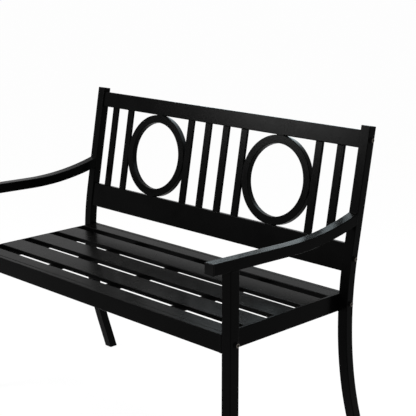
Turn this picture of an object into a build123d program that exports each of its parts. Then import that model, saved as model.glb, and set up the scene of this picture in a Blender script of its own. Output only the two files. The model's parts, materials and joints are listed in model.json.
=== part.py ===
"""Outdoor bench with two armrests, a slatted seat and a back with two rings.

X runs along the bench, Y from its front to its back, Z up from the floor.
Left and right are as seen by someone who stands in front of the bench.
Heights inside the functions count from the top of the seat, except where named otherwise.
"""

import math
import os

from build123d import *

os.makedirs("parts", exist_ok=True)

# Whole bench
bench_width = 1102.0  # over the outer faces of the posts
seat_height = 455.0  # floor to seat top
seat_depth = 466.0  # front rail to rear rail
back_height = 450.0  # seat top to post tops, along the lean

# Rear posts: one bent tube each, from the floor to the top of the back
post_width = 30.0
rear_post_depth = 26.0
tube_wall = 1.2
tube_corner = 2.0
back_lean = 10.2  # degrees from upright
back_post_top = 13.0  # posts above the top rail
leg_splay = 17.4  # degrees from upright
leg_bend_radius = 960.0
leg_bend_height = 115.0  # where the bend ends above the seat top
seat_behind_posts = 32.0  # seat behind the rear posts' front faces, at seat height

# Front posts and armrests
front_post_depth = 30.0
armrest_thickness = 29.0
armrest_height = 189.2  # top of the armrest over the seat's front edge
armrest_overhang = 57.0  # in front of the front post
armrest_fall = 1.4  # degrees, down towards the back
armrest_bend_start_y = 215.0
armrest_bend_radius = 858.0
armrest_bend_angle = 24.0  # degrees of bend before it is cut at the rear post

# Seat
seat_rail_height = 48.0
seat_cross_rail_depth = 15.0
seat_side_bar_thickness = 7.0
seat_side_bar_round = 1.0
seat_slat_gap = 30.5
seat_slat_lip = 12.3
seat_slat_sheet = 1.2
seat_slat_bend = 2.2
wide_slat_count = 3
narrow_slat_share = 0.566  # of a wide slat's width, for the first and the last
bearer_size = 19.0  # square tube
bearer_count = 3
bearer_spacing_share = 0.255  # of the seat's inner width

# Back
back_bottom_rail_start = 63.0  # above the seat top, along the lean
back_bottom_rail_height = 75.0
back_top_rail_height = 47.0
back_rail_depth = 18.0
back_rail_end_plate = 3.0
ring_bar_width = 23.5
ring_bar_depth = 18.0
ring_edge_chamfer = 1.2
back_slat_width = 25.0
back_slat_depth = 8.0
back_slat_setback = 1.6  # behind the front of the rails
back_slat_wall = 1.2
back_slat_corner = 1.8
back_row = ("slat", "slat", "ring", "slat", "slat") * 2  # from left to right

# Button-head bolts through the posts
bolt_radius = 4.0
bolt_hole_clearance = 0.3
bolt_washer_radius = 9.0
bolt_washer_thickness = 1.4
bolt_head_radius = 7.2
bolt_head_height = 4.6
bolt_head_slope_height = 3.0
bolt_head_slope_width = 2.6
bolt_socket_across_flats = 5.0
bolt_socket_depth = 2.6
bolt_tip_setback = 1.0  # inside the inner face that it threads into
back_bolt_reach = 5.0  # past the post
front_bolt_y = 20.0

# Caps and feet
cap_thickness = 3.5
cap_round = 1.7
plug_length = 14.0
plug_clearance = 0.2
foot_flange_thickness = 2.0
foot_pad_thickness = 2.5
foot_pad_radius = 9.0
foot_pad_chamfer = 0.8

# Sizes that follow
post_x = (bench_width - post_width) / 2
post_inner_x = bench_width / 2 - post_width
seat_inner_x = post_inner_x - seat_side_bar_thickness
seat_inner_width = 2 * seat_inner_x
seat_inner_depth = seat_depth - 2 * seat_cross_rail_depth
seat_bolt_height = -seat_rail_height / 2
back_front_y = seat_depth - seat_behind_posts
top_rail_start = back_height - back_post_top - back_top_rail_height
opening_start = back_bottom_rail_start + back_bottom_rail_height
opening_height = top_rail_start - opening_start
opening_middle = opening_start + opening_height / 2
ring_diameter = opening_height
tube_end_height = foot_flange_thickness + foot_pad_thickness - seat_height
lean = math.radians(back_lean)
splay = math.radians(leg_splay)
fall = math.radians(armrest_fall)

# The plane of the rear posts' front faces, X along the bench and Y up the lean
back_plane = Plane(origin=(0, back_front_y, 0), x_dir=(1, 0, 0), z_dir=(0, -math.cos(lean), math.sin(lean)))


def tube_profile(width, depth, corner, wall):
    """Cross-section of a rectangular tube with rounded corners."""
    return RectangleRounded(width, depth, corner) - Rectangle(width - 2 * wall, depth - 2 * wall)


def along(path):
    """Plane across the start of a path, with its X axis along the bench."""
    return Plane(origin=path @ 0, x_dir=(1, 0, 0), z_dir=path % 0)


def straight_tube(length, width, depth, corner, wall):
    """Tube along X, with its width up Z and its depth along Y, open at both ends."""
    profile = Plane.YZ * tube_profile(depth, width, corner, wall)
    return Pos(-length / 2, 0, 0) * extrude(profile, length)


def cross_hole(y, z):
    """Drill for a bolt that runs along X."""
    return Pos(0, y, z) * Rot(0, 90, 0) * Cylinder(bolt_radius + bolt_hole_clearance, bench_width)


def back_point(height):
    """Y and Z of the rear post's centre line at a height along its lean."""
    point = back_plane.from_local_coords(Vector(0, height, -rear_post_depth / 2))
    return point.Y, point.Z


def bend_centre():
    """Y and Z of the centre of the rear leg's bend."""
    y, z = back_point(leg_bend_height / math.cos(lean))
    return y + leg_bend_radius * math.cos(lean), z - leg_bend_radius * math.sin(lean)


def bend_point(angle):
    """Y and Z on the bend, the angle counting down from level."""
    y, z = bend_centre()
    return y - leg_bend_radius * math.cos(angle), z - leg_bend_radius * math.sin(angle)


def leg_point(height):
    """Y of the bend's centre line at a height near the seat."""
    z = bend_centre()[1]
    return bend_point(math.asin((z - height) / leg_bend_radius))[0]


def foot_y():
    """Y of the rear leg's centre line at the lower end of its tube."""
    y, z = bend_point(splay)
    return y + (z - tube_end_height) * math.tan(splay)


def rear_post_path():
    """Centre line of a rear post from its top to below its foot."""
    top = back_point(back_height - cap_thickness)
    start = back_point(leg_bend_height / math.cos(lean))
    middle = bend_point((splay - lean) / 2)
    end = bend_point(splay)
    y = foot_y() + rear_post_depth * math.tan(splay)
    foot = (y, tube_end_height - rear_post_depth)
    path = Line(top, start) + ThreePointArc(start, middle, end) + Line(end, foot)
    return Plane.YZ * path


def below(height):
    """Everything under a level."""
    return Pos(0, seat_depth / 2, height - seat_height / 2) * Box(bench_width, 2 * seat_depth, seat_height)


def bolt_places():
    """Y and Z of the bolts: two in the back's rails and two in the seat's frame."""
    top = back_point(top_rail_start + back_top_rail_height / 2)
    bottom = back_point(back_bottom_rail_start + back_bottom_rail_height / 2)
    rear = (leg_point(seat_bolt_height), seat_bolt_height)
    front = (front_bolt_y, seat_bolt_height)
    return top, bottom, rear, front


def rear_post():
    """Bent tube: back post above the seat, sabre leg below it."""
    path = rear_post_path()
    profile = tube_profile(post_width, rear_post_depth, tube_corner, tube_wall)
    post = sweep(along(path) * profile, path=path)
    post -= below(tube_end_height)
    top, bottom, rear, _ = bolt_places()
    for y, z in (top, bottom, rear):
        post -= cross_hole(y, z)
    return post


def armrest_path():
    """Centre line of an armrest: straight in front, then bent up towards the back."""
    half = armrest_thickness / 2
    front_y = cap_thickness - armrest_overhang
    bend_z = armrest_height - armrest_bend_start_y * math.tan(fall)
    radius = armrest_bend_radius + half
    centre_y = armrest_bend_start_y + armrest_bend_radius * math.sin(fall)
    centre_z = bend_z + armrest_bend_radius * math.cos(fall)
    bend_end = math.radians(armrest_bend_angle) - fall
    bend = []
    for angle in (-fall, (bend_end - fall) / 2, bend_end):
        bend.append((centre_y + radius * math.sin(angle), centre_z - radius * math.cos(angle)))
    y, z = bend[0]
    start = (front_y, z + (y - front_y) * math.tan(fall))
    return Plane.YZ * (Line(start, bend[0]) + ThreePointArc(*bend))


def behind_back():
    """Everything behind the rear posts' front faces."""
    block = Box(bench_width, 2 * back_height, seat_depth)
    return back_plane.location * Pos(0, 0, -seat_depth / 2) * block


def above_armrest():
    """Everything above the underside of the armrest's straight part."""
    underside = (0, 0, armrest_height - armrest_thickness / math.cos(fall))
    plane = Plane(origin=underside, x_dir=(1, 0, 0), z_dir=(0, math.sin(fall), math.cos(fall)))
    return plane.location * Pos(0, 0, seat_height / 2) * Box(bench_width, seat_depth, seat_height)


def armrest():
    """Bent tube, cut to the slope of the rear post."""
    path = armrest_path()
    profile = tube_profile(post_width, armrest_thickness, tube_corner, tube_wall)
    return sweep(along(path) * profile, path=path) - behind_back()


def front_post():
    """Upright tube, its top cut to the underside of the armrest."""
    height = armrest_height - tube_end_height
    profile = tube_profile(post_width, front_post_depth, tube_corner, tube_wall)
    post = Pos(0, front_post_depth / 2, tube_end_height) * extrude(profile, height)
    post -= above_armrest()
    front = bolt_places()[3]
    return post - cross_hole(*front)


def end_plug(width, depth, length):
    """Part of a cap that sits inside a tube, pointing up from the tube's end."""
    inset = 2 * (tube_wall + plug_clearance)
    return extrude(Rectangle(width - inset, depth - inset), length)


def end_cap(width, depth):
    """Cap that closes a tube, with its outer rim rounded, facing down."""
    face = Pos(0, 0, -cap_thickness) * extrude(RectangleRounded(width, depth, tube_corner), cap_thickness)
    face = fillet(face.edges().group_by(Axis.Z)[0], cap_round)
    return face + end_plug(width, depth, plug_length)


def rear_post_cap():
    """Cap on top of a rear post."""
    path = rear_post_path()
    return along(path).location * end_cap(post_width, rear_post_depth)


def armrest_cap():
    """Cap in the front end of an armrest."""
    path = armrest_path()
    return along(path).location * end_cap(post_width, armrest_thickness)


def foot(depth, y, slope):
    """Foot of a leg: plug in the tube, flange against its end and round pad on the floor."""
    plane = Plane(origin=(0, y, tube_end_height), x_dir=(1, 0, 0), z_dir=(0, -math.sin(slope), math.cos(slope)))
    plug = plane.location * Pos(0, 0, -plug_length) * end_plug(post_width, depth, 2 * plug_length)
    plug -= below(tube_end_height)
    outline = RectangleRounded(post_width, depth / math.cos(slope), tube_corner)
    flange = Pos(0, y, tube_end_height - foot_flange_thickness) * extrude(outline, foot_flange_thickness)
    pad = Cylinder(foot_pad_radius, foot_pad_thickness)
    pad = chamfer(pad.edges().sort_by(Axis.Z)[0], foot_pad_chamfer)
    pad = Pos(0, y, foot_pad_thickness / 2 - seat_height) * pad
    return plug + flange + pad


def seat_cross_rail(y):
    """Tube along the front or the rear of the seat, between the side bars."""
    tube = straight_tube(seat_inner_width, seat_rail_height, seat_cross_rail_depth, tube_corner, tube_wall)
    return Pos(0, y, seat_bolt_height) * tube


def seat_side_bar():
    """Flat bar at a side of the seat, with a threaded hole at each post."""
    bar = Box(seat_side_bar_thickness, seat_depth, seat_rail_height)
    bar = fillet(bar.edges().filter_by(Axis.Y), seat_side_bar_round)
    bar = Pos(0, seat_depth / 2, seat_bolt_height) * bar
    _, _, rear, front = bolt_places()
    return bar - cross_hole(*rear) - cross_hole(*front)


def seat_slat(width):
    """Folded sheet slat with a lip turned down along each long edge."""
    outside = Rectangle(width, seat_slat_lip)
    outside = fillet(outside.vertices().group_by(Axis.Y)[-1], seat_slat_bend)
    inside_width = width - 2 * seat_slat_sheet
    inside = Pos(0, -seat_slat_sheet) * Rectangle(inside_width, seat_slat_lip)
    inside = fillet(inside.vertices().group_by(Axis.Y)[-1], seat_slat_bend - seat_slat_sheet)
    profile = Plane.YZ * Pos(0, -seat_slat_lip / 2) * (outside - inside)
    return Pos(-seat_inner_x, 0, 0) * extrude(profile, seat_inner_width)


def seat_slats():
    """The seat's slats from front to rear: a narrow one, wide ones and a narrow one."""
    shares = [narrow_slat_share] + [1] * wide_slat_count + [narrow_slat_share]
    free = seat_inner_depth - (len(shares) - 1) * seat_slat_gap
    widths = [share * free / sum(shares) for share in shares]
    slats = []
    edge = seat_cross_rail_depth
    for width in widths:
        slats.append(Pos(0, edge + width / 2, 0) * seat_slat(width))
        edge += width + seat_slat_gap
    return slats


def seat_bearer():
    """Square tube under the slats, from the front rail to the rear rail."""
    profile = Plane.XZ * tube_profile(bearer_size, bearer_size, tube_corner, tube_wall)
    rear_end = Pos(0, seat_depth - seat_cross_rail_depth, -seat_slat_lip - bearer_size / 2)
    return rear_end * extrude(profile, seat_inner_depth)


def on_back(x, height, depth, solid):
    """Puts a piece on the back, its centre at a depth behind the posts' front faces."""
    return back_plane.location * Pos(x, height, -depth) * solid


def back_rail(start, height):
    """Tube along the back with a threaded plate closing each end."""
    length = 2 * post_inner_x
    tube = extrude(tube_profile(height, back_rail_depth, tube_corner, tube_wall), length)
    plate = extrude(RectangleRounded(height, back_rail_depth, tube_corner), back_rail_end_plate)
    rail = tube + plate + Pos(0, 0, length - back_rail_end_plate) * plate
    hole = Cylinder(bolt_radius + bolt_hole_clearance, bench_width)
    rail = Pos(-length / 2, 0, 0) * Plane.YZ.location * (rail - Pos(0, 0, length / 2) * hole)
    return on_back(0, start + height / 2, rear_post_depth / 2, rail)


def back_slat():
    """Flat upright tube between the rails."""
    profile = tube_profile(back_slat_width, back_slat_depth, back_slat_corner, back_slat_wall)
    slat = Plane.XZ * profile
    return Pos(0, opening_height / 2, 0) * extrude(slat, opening_height)


def back_ring():
    """Ring of flat bar with its edges eased."""
    bar = Rectangle(ring_bar_width, ring_bar_depth)
    bar = chamfer(bar.vertices(), ring_edge_chamfer)
    bar = Plane.XZ * Pos((ring_diameter - ring_bar_width) / 2, 0) * bar
    return revolve(bar, Axis.Z)


def back_layout():
    """Centres along X of the slats and the rings: even gaps, but none beside a ring."""
    widths = {"slat": back_slat_width, "ring": ring_diameter}
    open_after = ["ring" not in pair for pair in zip(back_row, back_row[1:])] + [True]
    free = 2 * post_inner_x - sum(widths[piece] for piece in back_row)
    gap = free / (1 + sum(open_after))
    centres = {"slat": [], "ring": []}
    edge = gap - post_inner_x
    for piece, is_open in zip(back_row, open_after):
        centres[piece].append(edge + widths[piece] / 2)
        edge += widths[piece]
        if is_open:
            edge += gap
    return centres["slat"], centres["ring"]


def bolt(reach):
    """Button-head bolt with its washer face at zero, its shank along +Z."""
    shank = Pos(0, 0, reach / 2) * Cylinder(bolt_radius, reach)
    washer = Pos(0, 0, -bolt_washer_thickness / 2) * Cylinder(bolt_washer_radius, bolt_washer_thickness)
    head = Cylinder(bolt_head_radius, bolt_head_height)
    rim = head.edges().sort_by(Axis.Z)[0]
    head = chamfer(rim, bolt_head_slope_height, bolt_head_slope_width)
    head = Pos(0, 0, -bolt_washer_thickness - bolt_head_height / 2) * head
    socket = RegularPolygon(bolt_socket_across_flats / 2, 6, major_radius=False)
    socket = extrude(socket, bolt_socket_depth)
    head -= Pos(0, 0, -bolt_washer_thickness - bolt_head_height) * socket
    return shank + washer + head


def bolt_group(places, reach):
    """The same bolt at each place on both sides of the bench."""
    bolts = []
    for y, z in places:
        bolts.append(Pos(-bench_width / 2, y, z) * Rot(0, 90, 0) * bolt(reach))
        bolts.append(Pos(bench_width / 2, y, z) * Rot(0, -90, 0) * bolt(reach))
    return Compound(children=bolts)


def on_both_sides(name, x, solid):
    """The same piece at the left and at the right."""
    return {name + "_left": Pos(-x, 0, 0) * solid, name + "_right": Pos(x, 0, 0) * solid}


def build():
    """Every piece by its name."""
    pieces = {}
    pieces.update(on_both_sides("rear_post", post_x, rear_post()))
    pieces.update(on_both_sides("rear_post_cap", post_x, rear_post_cap()))
    pieces.update(on_both_sides("front_post", post_x, front_post()))
    pieces.update(on_both_sides("armrest", post_x, armrest()))
    pieces.update(on_both_sides("armrest_cap", post_x, armrest_cap()))
    pieces.update(on_both_sides("rear_foot", post_x, foot(rear_post_depth, foot_y(), splay)))
    pieces.update(on_both_sides("front_foot", post_x, foot(front_post_depth, front_post_depth / 2, 0)))

    side_bar_x = post_inner_x - seat_side_bar_thickness / 2
    pieces.update(on_both_sides("seat_side_bar", side_bar_x, seat_side_bar()))
    pieces["seat_front_rail"] = seat_cross_rail(seat_cross_rail_depth / 2)
    pieces["seat_rear_rail"] = seat_cross_rail(seat_depth - seat_cross_rail_depth / 2)
    for number, slat in enumerate(seat_slats(), start=1):
        pieces[f"seat_slat_{number}"] = slat
    for number in range(1, bearer_count + 1):
        steps_from_middle = number - (bearer_count + 1) / 2
        x = steps_from_middle * bearer_spacing_share * seat_inner_width
        pieces[f"seat_bearer_{number}"] = Pos(x, 0, 0) * seat_bearer()

    pieces["back_top_rail"] = back_rail(top_rail_start, back_top_rail_height)
    pieces["back_bottom_rail"] = back_rail(back_bottom_rail_start, back_bottom_rail_height)
    slat_centres, ring_centres = back_layout()
    rail_front = (rear_post_depth - back_rail_depth) / 2
    slat_depth = rail_front + back_slat_setback + back_slat_depth / 2
    for number, x in enumerate(slat_centres, start=1):
        pieces[f"back_slat_{number}"] = on_back(x, opening_middle, slat_depth, back_slat())
    ring_depth = rail_front + ring_bar_depth / 2
    for side, x in zip(("left", "right"), ring_centres):
        pieces["back_ring_" + side] = on_back(x, opening_middle, ring_depth, back_ring())

    top, bottom, rear, front = bolt_places()
    pieces["back_bolts"] = bolt_group((top, bottom), post_width + back_bolt_reach)
    pieces["seat_bolts"] = bolt_group((rear, front), post_width + seat_side_bar_thickness - bolt_tip_setback)
    return pieces


def centred(pieces):
    """Stands the bench on the floor with the middle of its footprint at the origin."""
    boxes = [piece.bounding_box() for piece in pieces.values()]
    middle = (min(box.min.Y for box in boxes) + max(box.max.Y for box in boxes)) / 2
    return {name: Pos(0, -middle, seat_height) * piece for name, piece in pieces.items()}


for name, piece in centred(build()).items():
    export_step(piece, f"parts/{name}.step")
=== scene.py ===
"""Looks of the outdoor bench: powder coat, plastics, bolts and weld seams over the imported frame.

Metres, +Z up, X along the bench, -Y its front. Left and right are as seen from the front.
"""

import json
import math

import bmesh
import bpy
from mathutils import Matrix, Vector


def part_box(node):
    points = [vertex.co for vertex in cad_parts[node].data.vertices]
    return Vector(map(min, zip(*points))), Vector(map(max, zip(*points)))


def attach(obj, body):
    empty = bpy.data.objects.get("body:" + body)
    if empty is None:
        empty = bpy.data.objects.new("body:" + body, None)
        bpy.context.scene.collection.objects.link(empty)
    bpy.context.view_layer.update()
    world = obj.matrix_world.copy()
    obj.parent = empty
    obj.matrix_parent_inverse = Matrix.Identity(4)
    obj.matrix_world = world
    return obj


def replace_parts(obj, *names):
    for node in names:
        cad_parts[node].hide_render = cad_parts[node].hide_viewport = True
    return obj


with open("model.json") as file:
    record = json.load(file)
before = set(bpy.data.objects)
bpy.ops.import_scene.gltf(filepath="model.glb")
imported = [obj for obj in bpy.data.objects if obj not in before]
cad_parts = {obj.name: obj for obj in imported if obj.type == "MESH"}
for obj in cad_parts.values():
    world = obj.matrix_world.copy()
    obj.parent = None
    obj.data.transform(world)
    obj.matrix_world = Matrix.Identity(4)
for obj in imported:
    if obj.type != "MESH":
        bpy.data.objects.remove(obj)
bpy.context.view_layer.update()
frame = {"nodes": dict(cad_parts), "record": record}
nodes = frame["nodes"]

# Camera: the picture's width and the focal length in pixels, and the view's angles in degrees
image_width = 416
sensor_width_mm = 36.0
view_azimuth = 45.31
view_elevation = 13.68
view_focal_px = 1098.9
view_place = (2.2455, -1.9935, 1.3617)
view_clip_end = 200.0

# Light: the level that the surroundings light the bench with, and the level that is seen
ambient_strength = 0.9
seen_strength = 1.0
white = (1.0, 1.0, 1.0, 1.0)
soft_lights = {
    "key": {
        "place": (-1.5, -1.5, 2.9), "target": (0.0, 0.0, 0.4), "width": 2.4, "height": 2.4,
        "power": 25.0, "colour": (1.0, 0.98, 0.95),
    },
    "front": {
        "place": (-1.05, -1.24, 1.30), "target": (0.2, 0.25, 0.95), "width": 0.6, "height": 0.45,
        "power": 27.0, "colour": (1.0, 1.0, 1.0),
    },
    "strip": {
        "place": (-0.08, 0.62, 1.02), "target": (0.536, -0.05, 0.68), "width": 0.7, "height": 0.3,
        "power": 3.4, "colour": (0.78, 0.94, 1.0),
    },
    "top": {
        "place": (-0.55, 0.75, 1.9), "target": (0.536, 0.1, 0.7), "width": 0.7, "height": 0.7,
        "power": 20.0, "colour": (0.9, 0.97, 1.0),
    },
}
floor_half = 40.0
floor_colour = (0.9, 0.9, 0.9)
floor_glow_share = 0.92

# Edges as light sees them, and the turn between two faces that makes an edge sharp
edge_radius = 0.0009
edge_samples = 6
sharp_angle = math.radians(35)
shading_weight = 100

# Materials: how much detail each noise has, and the levels between which each mask fades in
broad_detail = 3.0
cloud_detail = 4.0
speck_detail = 4.0
fine_detail = 2.0
noise_fade = (0.35, 0.65)
wear_and_glint_fade = (0.45, 0.7)
rough_fade = (0.3, 0.7)
edge_fade = (0.86, 0.995)  # cosine between the rounded and the plain surface direction
level_fade = (0.7, 0.98)  # Z of the surface direction
# Speck levels between which the painted glint on the bolts' heads fades in
glint_speck_shares = (0.6, 1.0)
mix_colour_inputs = (6, 7)  # sockets of a Mix node that is set to colour
mix_colour_output = 2

# The back leans, and is laid out on the plane of the rear posts' front faces.
# The opening's heights count up the lean from the seat's top, and the other places count back from the plane.
back_lean = math.radians(10.2)
back_front_y = 0.1911
seat_top = 0.455
opening_start = 0.138
opening_end = 0.390
rail_front = 0.004
rail_rear = 0.022
slat_front = 0.0056
slat_rear = 0.0136
back_slat_count = 8
ring_radius = 0.126

# Armrests
armrest_fall = math.radians(1.4)
armrest_end_slope = math.radians(16.2)

# Seat
seat_slat_count = 5
seat_bearer_count = 3
seat_slat_sheet = 0.0012
seat_inner_x = 0.514

# Weld seams
weld_leg = 0.0022
small_weld_leg = 0.0014
weld_ripple_share = 0.14
weld_pitch = 0.0021
weld_steps_per_pitch = 3
weld_fewest_steps = 2
weld_arc_steps = 4
weld_hollow_share = 0.18
weld_bite = 0.0005
contact_tolerance = 0.0005
weld_inset = 0.003
slat_weld_inset = 0.006
weld_taper_length = 0.002
weld_end_share = 0.3
ring_weld_half = 0.013
ridge_half_width = 0.0018
ridge_height = 0.0004
groove_depth = 0.0010
tack_half = 0.005

# Bolts
bolt_steps = 48
washer_radius = 0.009
washer_thickness = 0.0014
washer_round = 0.0004
head_radius = 0.0072
head_height = 0.0046
head_rim = 0.0007
dome_steps = 8
dome_top_share = 1.25
socket_sides = 6
socket_radius = 0.0029
socket_rim = 0.0003
socket_depth = 0.0026
shank_radius = 0.004
merge_distance = 1e-6

# Directions
along_x = Vector((1, 0, 0))
along_y = Vector((0, 1, 0))
along_z = Vector((0, 0, 1))
lean_up = Vector((0, math.sin(back_lean), math.cos(back_lean)))
lean_out = Vector((0, -math.cos(back_lean), math.sin(back_lean)))
back_origin = Vector((0, back_front_y, seat_top))

# Faces that carry welds: the depth, the way out of the face, and the weld's leg
slat_faces = ((slat_front, lean_out, small_weld_leg), (slat_rear, -lean_out, weld_leg))
rail_faces = ((rail_front, lean_out), (rail_rear, -lean_out))
sides = ("left", "right")


def node_tree(owner, output_type):
    """Empties the nodes of a material or the world, and gives back its nodes, links and output."""
    owner.use_nodes = True
    tree = owner.node_tree
    tree.nodes.clear()
    output = tree.nodes.new(output_type)
    return tree.nodes, tree.links, output


def noise(new, link, coordinates, scale, detail):
    """Noise in the bench's own space."""
    texture = new("ShaderNodeTexNoise")
    texture.inputs["Scale"].default_value = scale
    texture.inputs["Detail"].default_value = detail
    link(coordinates, texture.inputs["Vector"])
    return texture.outputs["Fac"]


def ramp(new, link, value, low, high, fade=noise_fade):
    """Goes from low to high while a value crosses the fade's two levels."""
    node = new("ShaderNodeMapRange")
    node.inputs["From Min"].default_value = fade[0]
    node.inputs["From Max"].default_value = fade[1]
    node.inputs["To Min"].default_value = low
    node.inputs["To Max"].default_value = high
    link(value, node.inputs["Value"])
    return node.outputs["Result"]


def colour_mix(new, link, factor, first, second):
    """Mixes two colours, each a value or a socket."""
    node = new("ShaderNodeMix")
    node.data_type = "RGBA"
    link(factor, node.inputs["Factor"])
    for index, colour in zip(mix_colour_inputs, (first, second)):
        if isinstance(colour, tuple):
            node.inputs[index].default_value = (*colour, 1.0)
        else:
            link(colour, node.inputs[index])
    return node.outputs[mix_colour_output]


def combine(new, link, operation, first, second):
    """Product or greater of two values; the second is a number or a socket."""
    node = new("ShaderNodeMath")
    node.operation = operation
    link(first, node.inputs[0])
    if isinstance(second, float):
        node.inputs[1].default_value = second
    else:
        link(second, node.inputs[1])
    return node.outputs[0]


def rounded_normal(new):
    """Surface direction with the sharp edges rounded over."""
    bevel = new("ShaderNodeBevel")
    bevel.samples = edge_samples
    bevel.inputs["Radius"].default_value = edge_radius
    return bevel.outputs["Normal"]


def edge_mask(new, link, rounded):
    """One on the rounded edges, zero on the faces."""
    geometry = new("ShaderNodeNewGeometry")
    dot = new("ShaderNodeVectorMath")
    dot.operation = "DOT_PRODUCT"
    link(rounded, dot.inputs[0])
    link(geometry.outputs["Normal"], dot.inputs[1])
    return ramp(new, link, dot.outputs["Value"], 1.0, 0.0, edge_fade)


def facing_up(new, link):
    """One on level tops, fading to zero on steep and upright faces."""
    geometry = new("ShaderNodeNewGeometry")
    parts = new("ShaderNodeSeparateXYZ")
    link(geometry.outputs["Normal"], parts.inputs[0])
    return ramp(new, link, parts.outputs["Z"], 0.0, 1.0, level_fade)


def bolt_glint_mask(new, link, place, reach):
    """Mask of the painted glint: one on the outermost part of the bolts' heads, zero nearer to the bench's
    middle.
    """
    parts = new("ShaderNodeSeparateXYZ")
    link(place, parts.inputs[0])
    size = new("ShaderNodeMath")
    size.operation = "ABSOLUTE"
    link(parts.outputs["X"], size.inputs[0])
    return ramp(new, link, size.outputs[0], 0.0, 1.0, reach)


def finish_material(name, look):
    """Procedural coat, plastic or steel, from one entry of looks."""
    material = bpy.data.materials.new(name)
    tree_nodes, links, output = node_tree(material, "ShaderNodeOutputMaterial")
    new = tree_nodes.new
    link = links.new
    shader = new("ShaderNodeBsdfPrincipled")
    link(shader.outputs[0], output.inputs["Surface"])
    shader.inputs["Metallic"].default_value = look["metallic"]
    shader.inputs["Specular IOR Level"].default_value = look["specular"]

    place = new("ShaderNodeTexCoord").outputs["Object"]
    broad = noise(new, link, place, look["broad_scale"], broad_detail)
    cloud = noise(new, link, place, look["cloud_scale"], cloud_detail)
    speck = noise(new, link, place, look["speck_scale"], speck_detail)
    fine = noise(new, link, place, look["fine_scale"], fine_detail)
    rounded = rounded_normal(new)

    colour = colour_mix(new, link, ramp(new, link, broad, 0.0, 1.0), look["dark"], look["light"])
    dusty_clouds = ramp(new, link, cloud, 0.0, look["dust"])
    dust = combine(new, link, "MULTIPLY", facing_up(new, link), dusty_clouds)
    colour = colour_mix(new, link, dust, colour, look["dusty"])
    # Worn colour on the rounded edges: wear on the coat and plastics, and a painted glint on the bolts'
    # heads.
    worn_and_glint_specks = ramp(new, link, speck, 0.0, look["wear_and_glint"], wear_and_glint_fade)
    wear_and_glint = combine(new, link, "MULTIPLY", edge_mask(new, link, rounded), worn_and_glint_specks)
    colour = colour_mix(new, link, wear_and_glint, colour, look["worn_and_glint"])
    # Painted glint: bright, metallic colour in specks on the outermost part of the bolts' heads.
    if "glint_tip" in look:
        worn_and_glint_specks = ramp(new, link, speck, *glint_speck_shares)
        glint_tip = combine(new, link, "MULTIPLY", bolt_glint_mask(new, link, place, look["glint_tip"]), worn_and_glint_specks)
        colour = colour_mix(new, link, glint_tip, colour, look["worn_and_glint"])
        link(glint_tip, shader.inputs["Metallic"])
    link(colour, shader.inputs["Base Color"])

    roughness = ramp(new, link, cloud, *look["rough"], rough_fade)
    link(roughness, shader.inputs["Roughness"])

    bump = new("ShaderNodeBump")
    bump.inputs["Strength"].default_value = look["bump"]
    bump.inputs["Distance"].default_value = look["bump_distance"]
    link(fine, bump.inputs["Height"])
    link(rounded, bump.inputs["Normal"])
    link(bump.outputs["Normal"], shader.inputs["Normal"])
    return material


# The look of each material slot. Dust and wear are their largest shares, and rough is a range. On the bolts
# the worn colour is also a painted glint.
# A glint tip is where a painted glint of bright metal fades in on the bolts' heads, as a distance from the
# bench's middle along X.
looks = {
    "black_coated_steel": {
        "dark": (0.0007, 0.0007, 0.0007), "light": (0.0012, 0.0012, 0.0012),
        "dusty": (0.0030, 0.0028, 0.0024), "worn_and_glint": (0.012, 0.012, 0.0118), "dust": 0.35, "wear_and_glint": 0.35,
        "metallic": 0.0, "specular": 0.018, "rough": (0.22, 0.28),
        "broad_scale": 6.0, "cloud_scale": 24.0, "speck_scale": 260.0, "fine_scale": 520.0,
        "bump": 0.12, "bump_distance": 0.0004,
    },
    "black_cap_plastic": {
        "dark": (0.0020, 0.0020, 0.0020), "light": (0.0032, 0.0032, 0.0032),
        "dusty": (0.008, 0.0076, 0.007), "worn_and_glint": (0.02, 0.02, 0.02), "dust": 0.4, "wear_and_glint": 0.3,
        "metallic": 0.0, "specular": 0.025, "rough": (0.34, 0.42),
        "broad_scale": 30.0, "cloud_scale": 60.0, "speck_scale": 400.0, "fine_scale": 1500.0,
        "bump": 0.25, "bump_distance": 0.0002,
    },
    "black_foot_plastic": {
        "dark": (0.004, 0.004, 0.004), "light": (0.007, 0.0068, 0.0066),
        "dusty": (0.02, 0.018, 0.016), "worn_and_glint": (0.03, 0.029, 0.027), "dust": 0.6, "wear_and_glint": 0.7,
        "metallic": 0.0, "specular": 0.1, "rough": (0.50, 0.65),
        "broad_scale": 40.0, "cloud_scale": 90.0, "speck_scale": 400.0, "fine_scale": 1200.0,
        "bump": 0.3, "bump_distance": 0.0002,
    },
    "dark_bolt_steel": {
        "dark": (0.0004, 0.0004, 0.0004), "light": (0.001, 0.001, 0.001),
        # The worn colour here is wear and a painted glint on the heads' rims and outermost part
        "dusty": (0.002, 0.0019, 0.0018), "worn_and_glint": (0.12, 0.105, 0.09), "dust": 0.2, "wear_and_glint": 0.2,
        # Painted glint on the heads' outermost part, fading in across this span of X
        "glint_tip": (0.5564, 0.5568),
        "metallic": 0.0, "specular": 0.03, "rough": (0.16, 0.26),
        "broad_scale": 120.0, "cloud_scale": 240.0, "speck_scale": 900.0, "fine_scale": 2400.0,
        "bump": 0.2, "bump_distance": 0.0001,
    },
}
materials = {slot: finish_material(slot + "_look", look) for slot, look in looks.items()}


def dress_frame():
    """Gives every CAD node the look of its material slot, and even shading over its narrow faces."""
    for part in frame["record"]["subparts"]:
        item = nodes[part["node"]]
        item.data.materials.clear()
        item.data.materials.append(materials[part["material_slot"]])
        weighted = item.modifiers.new("even_shading", "WEIGHTED_NORMAL")
        weighted.mode = "FACE_AREA"
        weighted.weight = shading_weight
        weighted.keep_sharp = True


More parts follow.
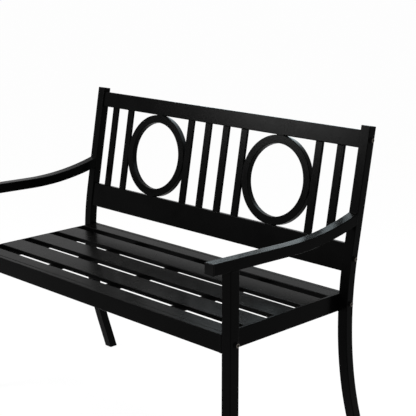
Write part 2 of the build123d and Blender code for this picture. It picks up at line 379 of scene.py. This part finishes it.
def new_piece(name, bm, slot):
    """Mesh piece with the look of a material slot, fixed to the bench."""
    bm.normal_update()
    mesh = bpy.data.meshes.new(name)
    bm.to_mesh(mesh)
    bm.free()
    mesh.materials.append(materials[slot])
    for face in mesh.polygons:
        face.use_smooth = True
    mesh.set_sharp_from_angle(angle=sharp_angle)
    piece = bpy.data.objects.new(name, mesh)
    bpy.context.scene.collection.objects.link(piece)
    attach(piece, "root")
    return piece


def skin(bm, rows):
    """Closed surface over rows of points, each row a loop, with both ends filled."""
    made = [[bm.verts.new(point) for point in row] for row in rows]
    for here, after in zip(made, made[1:]):
        for index in range(len(here)):
            follow = (index + 1) % len(here)
            bm.faces.new((here[index], here[follow], after[follow], after[index]))
    bm.faces.new(list(reversed(made[0])))
    bm.faces.new(made[-1])


def ring_points(reach, height, place):
    """A loop around local Z; reach is a number, or a function of the angle."""
    points = []
    for index in range(bolt_steps):
        angle = math.tau * index / bolt_steps
        radius = reach(angle) if callable(reach) else reach
        points.append(place @ Vector((radius * math.cos(angle), radius * math.sin(angle), height)))
    return points


def hexagon(radius):
    """Distance from the middle of a hexagon to its side, as a function of the angle."""
    sector = math.tau / socket_sides
    return lambda angle: radius / math.cos((angle % sector) - sector / 2)


def bolt_rows(place, length):
    """Shank, washer and domed head with a hexagon socket; local +Z points out of the bench."""
    outline = [
        (shank_radius, -length),
        (shank_radius, 0.0),
        (washer_radius - washer_round, 0.0),
        (washer_radius, washer_round),
        (washer_radius, washer_thickness - washer_round),
        (washer_radius - washer_round, washer_thickness),
        (head_radius, washer_thickness),
    ]
    inner = socket_radius * dome_top_share
    for step in range(dome_steps + 1):
        angle = math.pi / 2 * step / dome_steps
        radius = inner + (head_radius - inner) * math.cos(angle)
        outline.append((radius, washer_thickness + head_rim + (head_height - head_rim) * math.sin(angle)))
    top = washer_thickness + head_height
    outline.append((hexagon(socket_radius + socket_rim), top))
    outline.append((hexagon(socket_radius), top - socket_rim))
    outline.append((hexagon(socket_radius), top - socket_depth))
    return [ring_points(reach, height, place) for reach, height in outline]


def islands(node):
    """Lowest and highest corners of each separate solid in a CAD node, in the same order each run."""
    bm = bmesh.new()
    bm.from_mesh(nodes[node].data)
    bmesh.ops.remove_doubles(bm, verts=bm.verts, dist=merge_distance)
    left = set(bm.verts)
    found = []
    while left:
        stack = [left.pop()]
        points = []
        while stack:
            vert = stack.pop()
            points.append(vert.co.copy())
            for edge in vert.link_edges:
                other = edge.other_vert(vert)
                if other in left:
                    left.remove(other)
                    stack.append(other)
        low = Vector(min(point[axis] for point in points) for axis in range(3))
        high = Vector(max(point[axis] for point in points) for axis in range(3))
        found.append((low, high))
    bm.free()
    return sorted(found, key=lambda corners: tuple(corners[0]))


def make_bolts(node):
    """Replaces a CAD group of bolts by detailed bolts in the same places."""
    post_outer_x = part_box("rear_post_right")[1].x
    bm = bmesh.new()
    for low, high in islands(node):
        middle = (low + high) / 2
        side = math.copysign(1, middle.x)
        turn = Matrix.Rotation(side * math.pi / 2, 4, "Y")
        place = Matrix.Translation((side * post_outer_x, middle.y, middle.z)) @ turn
        skin(bm, bolt_rows(place, post_outer_x - min(abs(low.x), abs(high.x))))
    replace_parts(new_piece(node + "_detailed", bm, "dark_bolt_steel"), node)


def fillet_profile(first, second, leg):
    """Cross-section of a weld in a corner; first and second point away from it along the faces."""
    points = [-(first + second) * weld_bite]
    for step in range(weld_arc_steps + 1):
        turn = math.pi / 2 * step / weld_arc_steps
        reach = leg * (1 - weld_hollow_share * math.sin(2 * turn))
        points.append((first * math.cos(turn) + second * math.sin(turn)) * reach)
    return points


def ridge_profile(across, out):
    """Cross-section of a low weld over a seam between two flush faces."""
    points = [-out * groove_depth]
    for step in range(2 * weld_arc_steps + 1):
        turn = math.pi * step / (2 * weld_arc_steps)
        beside = across * ridge_half_width * math.cos(turn)
        points.append(beside + out * ridge_height * math.sin(turn))
    return points


def bead(bm, start, end, profile):
    """Weld with ripples and thinner ends, along a straight line."""
    run = end - start
    count = max(weld_fewest_steps, round(run.length / weld_pitch * weld_steps_per_pitch))
    rows = []
    for index in range(count + 1):
        length = run.length * index / count
        ripple = 1 + weld_ripple_share * abs(math.sin(math.pi * length / weld_pitch))
        from_end = min(length, run.length - length)
        taper = min(1.0, weld_end_share + from_end / weld_taper_length)
        base = start + run * (index / count)
        rows.append([base + offset * ripple * taper for offset in profile])
    skin(bm, rows)


def on_back(x, height, depth):
    """Point at a height up the lean and a depth behind the rear posts' front plane."""
    return back_origin + along_x * x + lean_up * height - lean_out * depth


def weld_back_slats(bm):
    """Welds across both ends of the back's slats, small in front and larger behind."""
    for number in range(1, back_slat_count + 1):
        low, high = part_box(f"back_slat_{number}")
        for height, away in ((opening_start, lean_up), (opening_end, -lean_up)):
            for depth, out, leg in slat_faces:
                start = on_back(low.x + weld_inset, height, depth)
                end = on_back(high.x - weld_inset, height, depth)
                bead(bm, start, end, fillet_profile(away, out, leg))


def weld_ring(bm, node):
    """Welds where a ring touches the rails above and below it and the slats beside it."""
    low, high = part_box(node)
    middle = on_back((low.x + high.x) / 2, (opening_start + opening_end) / 2, 0.0)
    for toward in (lean_up, -lean_up):
        half = along_x * ring_weld_half
        for depth, out in rail_faces:
            point = middle + toward * ring_radius - lean_out * depth
            bead(bm, point - half, point + half, ridge_profile(toward, out))
    for toward in (along_x, -along_x):
        half = lean_up * ring_weld_half
        for depth, out, leg in slat_faces:
            point = middle + toward * ring_radius - lean_out * depth
            bead(bm, point - half, point + half, fillet_profile(toward, out, leg))


def heights_on_back(node):
    """Lowest and highest places, up the lean, where a piece meets the rear posts' front plane."""
    heights = []
    for vert in nodes[node].data.vertices:
        offset = vert.co - back_origin
        if abs(offset.dot(lean_out)) < contact_tolerance:
            heights.append(offset.dot(lean_up))
    return min(heights), max(heights)


def weld_armrest(bm, side):
    """Welds around an armrest's rear end, and where it rests on the front post."""
    low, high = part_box("armrest_" + side)
    inner, outer = low.x + weld_inset, high.x - weld_inset
    forward = Vector((0, -math.cos(armrest_end_slope), -math.sin(armrest_end_slope)))
    bottom, top = heights_on_back("armrest_" + side)
    for height, away in ((top, lean_up), (bottom, -lean_up)):
        start = on_back(inner, height, 0.0)
        end = on_back(outer, height, 0.0)
        bead(bm, start, end, fillet_profile(away, forward, weld_leg))
    for x, out in ((low.x, -along_x), (high.x, along_x)):
        start = on_back(x, bottom + weld_inset, 0.0)
        end = on_back(x, top - weld_inset, 0.0)
        bead(bm, start, end, ridge_profile(lean_out, out))

    post_low, post_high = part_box("front_post_" + side)
    fall = math.tan(armrest_fall)
    under = Vector((0, math.cos(armrest_fall), -math.sin(armrest_fall)))
    rear_z = post_high.z - (post_high.y - post_low.y) * fall
    for y, z, away in ((post_low.y, post_high.z, -under), (post_high.y, rear_z, under)):
        start = Vector((inner, y, z))
        end = Vector((outer, y, z))
        bead(bm, start, end, fillet_profile(-along_z, away, weld_leg))
    for x, out in ((low.x, -along_x), (high.x, along_x)):
        start = Vector((x, post_low.y + weld_inset, post_high.z - weld_inset * fall))
        end = Vector((x, post_high.y - weld_inset, rear_z + weld_inset * fall))
        bead(bm, start, end, ridge_profile(along_z, out))


def weld_seat_slats(bm):
    """Welds under the slats' ends, against the side bars."""
    for number in range(1, seat_slat_count + 1):
        low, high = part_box(f"seat_slat_{number}")
        for side in (-1, 1):
            z = seat_top - seat_slat_sheet
            start = Vector((side * seat_inner_x, low.y + slat_weld_inset, z))
            end = Vector((side * seat_inner_x, high.y - slat_weld_inset, z))
            bead(bm, start, end, fillet_profile(-side * along_x, -along_z, weld_leg))


def weld_seat_corners(bm):
    """Welds inside the corners of the seat's frame."""
    lip_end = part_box("seat_slat_1")[0].z
    for node, inner_face, inward in (("seat_front_rail", 1, along_y), ("seat_rear_rail", 0, -along_y)):
        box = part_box(node)
        for side in (-1, 1):
            start = Vector((side * seat_inner_x, box[inner_face].y, box[0].z + weld_inset))
            end = Vector((side * seat_inner_x, box[inner_face].y, lip_end - weld_inset))
            bead(bm, start, end, fillet_profile(-side * along_x, inward, weld_leg))


def weld_bearer(bm, node):
    """Welds at a bearer's ends, and tacks against the slats' lips above it."""
    low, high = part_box(node)
    for y, inward in ((low.y, along_y), (high.y, -along_y)):
        for x, away in ((low.x, -along_x), (high.x, along_x)):
            start = Vector((x, y, low.z + weld_inset))
            end = Vector((x, y, high.z - weld_inset))
            bead(bm, start, end, fillet_profile(away, inward, weld_leg))
    middle_x = (low.x + high.x) / 2
    for number in range(1, seat_slat_count + 1):
        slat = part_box(f"seat_slat_{number}")
        for y, away in ((slat[0].y, -along_y), (slat[1].y, along_y)):
            if low.y < y < high.y:
                start = Vector((middle_x - tack_half, y, high.z))
                end = Vector((middle_x + tack_half, y, high.z))
                bead(bm, start, end, fillet_profile(away, along_z, small_weld_leg))


def weld_back(bm):
    """All the welds of the back."""
    weld_back_slats(bm)
    for side in sides:
        weld_ring(bm, "back_ring_" + side)


def weld_armrests(bm):
    """All the welds of the armrests."""
    for side in sides:
        weld_armrest(bm, side)


def weld_seat(bm):
    """All the welds of the seat."""
    weld_seat_slats(bm)
    weld_seat_corners(bm)
    for number in range(1, seat_bearer_count + 1):
        weld_bearer(bm, f"seat_bearer_{number}")


def make_welds():
    """Weld seams of the back, the armrests and the seat, a piece for each, under the bench's coat."""
    groups = {"back_welds": weld_back, "armrest_welds": weld_armrests, "seat_welds": weld_seat}
    for name, weld in groups.items():
        bm = bmesh.new()
        weld(bm)
        new_piece(name, bm, "black_coated_steel")


def seen_directly(new, link, share):
    """A share for rays from the camera, from gloss and through glass, and zero for the others."""
    rays = new("ShaderNodeLightPath")
    seen = rays.outputs["Is Camera Ray"]
    for name in ("Is Glossy Ray", "Is Transmission Ray"):
        seen = combine(new, link, "MAXIMUM", seen, rays.outputs[name])
    return combine(new, link, "MULTIPLY", seen, share)


def make_floor():
    """Pale floor that keeps a trace of the shadow and looks white to the camera."""
    mesh = bpy.data.meshes.new("floor")
    square = ((-1, -1, 0), (1, -1, 0), (1, 1, 0), (-1, 1, 0))
    mesh.from_pydata([floor_half * Vector(corner) for corner in square], [], [(0, 1, 2, 3)])
    floor = bpy.data.objects.new("floor", mesh)
    bpy.context.scene.collection.objects.link(floor)
    material = bpy.data.materials.new("floor_look")
    tree_nodes, links, output = node_tree(material, "ShaderNodeOutputMaterial")
    diffuse = tree_nodes.new("ShaderNodeBsdfDiffuse")
    diffuse.inputs["Color"].default_value = (*floor_colour, 1.0)
    glow = tree_nodes.new("ShaderNodeEmission")
    glow.inputs["Strength"].default_value = seen_strength
    mix = tree_nodes.new("ShaderNodeMixShader")
    links.new(seen_directly(tree_nodes.new, links.new, floor_glow_share), mix.inputs["Fac"])
    links.new(diffuse.outputs[0], mix.inputs[1])
    links.new(glow.outputs[0], mix.inputs[2])
    links.new(mix.outputs[0], output.inputs["Surface"])
    mesh.materials.append(material)


def make_world():
    """White where it is seen, and a plain soft level as light."""
    world = bpy.data.worlds.new("studio")
    bpy.context.scene.world = world
    tree_nodes, links, output = node_tree(world, "ShaderNodeOutputWorld")
    mix = tree_nodes.new("ShaderNodeMixShader")
    links.new(seen_directly(tree_nodes.new, links.new, 1.0), mix.inputs["Fac"])
    for index, strength in ((1, ambient_strength), (2, seen_strength)):
        background = tree_nodes.new("ShaderNodeBackground")
        background.inputs["Strength"].default_value = strength
        background.inputs["Color"].default_value = white
        links.new(background.outputs[0], mix.inputs[index])
    links.new(mix.outputs[0], output.inputs["Surface"])


def make_light(name, place, target, width, height, power, colour):
    """Soft rectangular light that faces a point."""
    data = bpy.data.lights.new(name, "AREA")
    data.shape = "RECTANGLE"
    data.size = width
    data.size_y = height
    data.energy = power
    data.color = colour
    light = bpy.data.objects.new(name, data)
    bpy.context.scene.collection.objects.link(light)
    light.location = place
    light.rotation_euler = (Vector(target) - Vector(place)).to_track_quat("-Z", "Y").to_euler()
    light.visible_camera = False


def make_camera():
    """Camera at the photograph's place and angle."""
    data = bpy.data.cameras.new("view")
    data.sensor_width = sensor_width_mm
    data.lens = sensor_width_mm * view_focal_px / image_width
    data.clip_end = view_clip_end
    camera = bpy.data.objects.new("view", data)
    bpy.context.scene.collection.objects.link(camera)
    camera.location = view_place
    camera.rotation_euler = (math.radians(90 - view_elevation), 0.0, math.radians(view_azimuth))
    bpy.context.scene.camera = camera


dress_frame()
make_bolts("back_bolts")
make_bolts("seat_bolts")
make_welds()
make_floor()
make_world()
for light_name, light in soft_lights.items():
    make_light(light_name, **light)
make_camera()
bpy.context.scene.view_settings.view_transform = "Standard"
